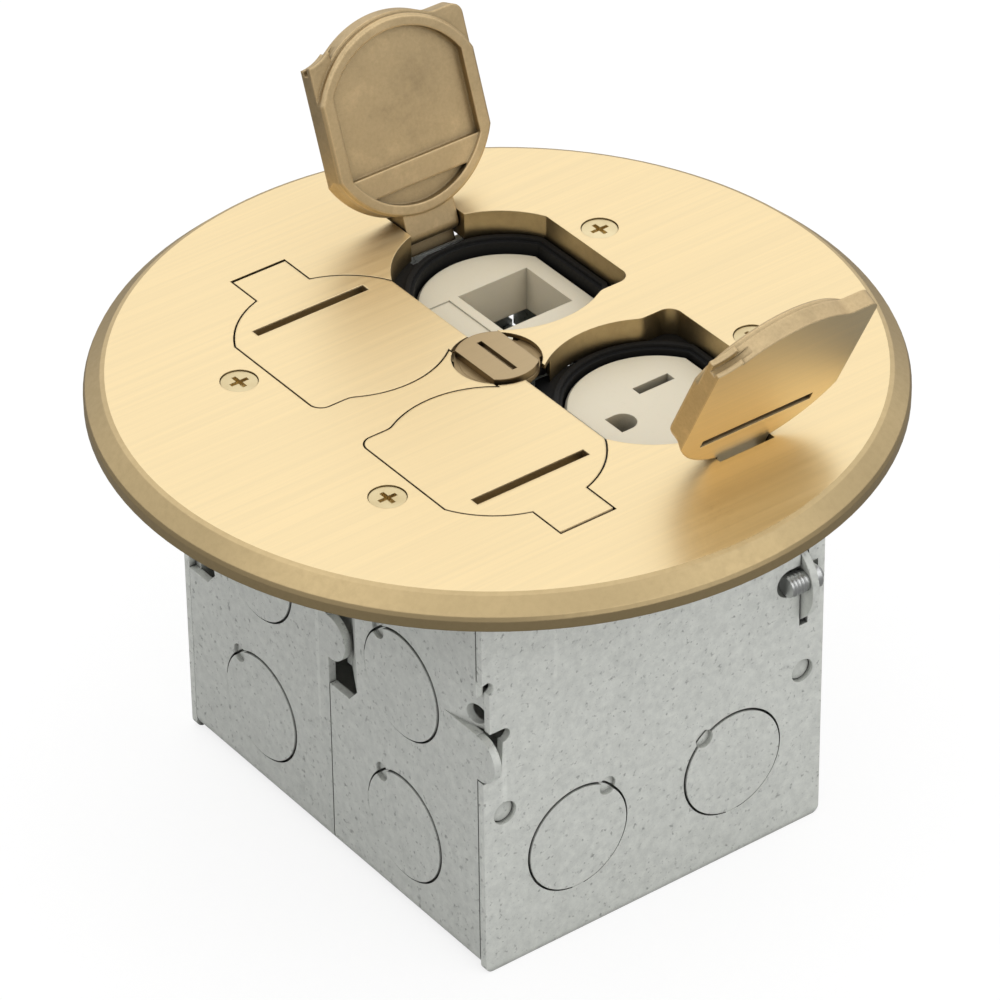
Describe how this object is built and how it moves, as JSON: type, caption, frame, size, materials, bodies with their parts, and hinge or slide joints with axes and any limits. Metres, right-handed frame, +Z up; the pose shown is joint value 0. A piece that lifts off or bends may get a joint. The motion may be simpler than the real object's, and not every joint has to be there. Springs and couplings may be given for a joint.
{
  "type": "floor socket box",
  "caption": "Round brushed-brass floor cover with flip lids and a coin latch over a power outlet and a low-voltage insert in a ganged steel floor box.",
  "frame": {"origin": "centre of the box's flat base, at the underside of the steel", "axes": "+Z up through the cover, X along the devices (the long way of a duplex outlet), Y from the front gang to the rear gang"},
  "size_m": [0.1524, 0.1524, 0.1338],
  "materials": {
    "brass": "brushed, lacquered, brush lines along X",
    "lid_brass": "brushed top, cast underside",
    "latch_brass": "turned, satin",
    "screw_brass": "plated, satin",
    "pin_steel": "bright drawn",
    "spring_steel": "tempered",
    "galvanised": "galvanised, fine spangle",
    "knockout_steel": "galvanised",
    "zinc_steel": "zinc plated",
    "rubber": "moulded, matt",
    "foam": "closed-cell foam",
    "almond_plastic": "moulded, satin",
    "body_plastic": "moulded, matt",
    "contact_brass": "strip, bare",
    "green_screw": "green dye on zinc"
  },
  "bodies": {
    "floor_box": {"cover_plate": "brass", "cover_screws": "screw_brass", "cover_flange_gasket": "foam", "hinge_pin_rear_left": "pin_steel", "hinge_pin_rear_right": "pin_steel", "hinge_pin_front_left": "pin_steel", "hinge_pin_front_right": "pin_steel", "hinge_pin_keepers": "brass", "latch_keeper_plate": "zinc_steel", "latch_keeper_screws": "zinc_steel", "latch_spring_washer": "spring_steel", "device_gasket": "rubber", "receptacle_strap": "zinc_steel", "receptacle_face": "almond_plastic", "receptacle_body": "body_plastic", "neutral_contacts": "contact_brass", "hot_contacts": "contact_brass", "ground_contacts": "contact_brass", "neutral_terminal_screws": "zinc_steel", "hot_terminal_screws": "contact_brass", "receptacle_rivet": "zinc_steel", "port_insert": "almond_plastic", "insert_strap": "zinc_steel", "insert_rivet": "zinc_steel", "front_box_body": "galvanised", "rear_box_body": "galvanised", "front_body_knockouts": "knockout_steel", "rear_body_knockouts": "knockout_steel", "front_side_plate": "galvanised", "rear_side_plate": "galvanised", "front_plate_knockouts": "knockout_steel", "rear_plate_knockouts": "knockout_steel", "ganging_screws": "zinc_steel", "side_plate_screws": "zinc_steel", "bonding_screw": "green_screw"},
    "rear_left_lid": {"lid_rear_left": "lid_brass"},
    "rear_right_lid": {"lid_rear_right": "lid_brass"},
    "front_left_lid": {"lid_front_left": "lid_brass"},
    "front_right_lid": {"lid_front_right": "lid_brass"},
    "latch": {"latch_disc": "latch_brass", "latch_cam": "latch_brass", "latch_retaining_clip": "spring_steel"}
  },
  "joints": [
    {"name": "rear_left_lid_hinge", "type": "hinge", "parent": "floor_box", "child": "rear_left_lid", "pos_m": [-0.018, 0.0461, 0.0932], "axis": [-1, 0, 0], "range_deg": [0, 117]},
    {"name": "rear_right_lid_hinge", "type": "hinge", "parent": "floor_box", "child": "rear_right_lid", "pos_m": [0.018, 0.0461, 0.0932], "axis": [-1, 0, 0], "range_deg": [-110, 7]},
    {"name": "front_left_lid_hinge", "type": "hinge", "parent": "floor_box", "child": "front_left_lid", "pos_m": [-0.018, -0.0461, 0.0932], "axis": [1, 0, 0], "range_deg": [0, 117]},
    {"name": "front_right_lid_hinge", "type": "hinge", "parent": "floor_box", "child": "front_right_lid", "pos_m": [0.018, -0.0461, 0.0932], "axis": [1, 0, 0], "range_deg": [-116, 1]},
    {"name": "latch_turn", "type": "hinge", "parent": "floor_box", "child": "latch", "pos_m": [0, 0, 0.094], "axis": [0, 0, 1], "range_deg": [0, 90]}
  ]
}
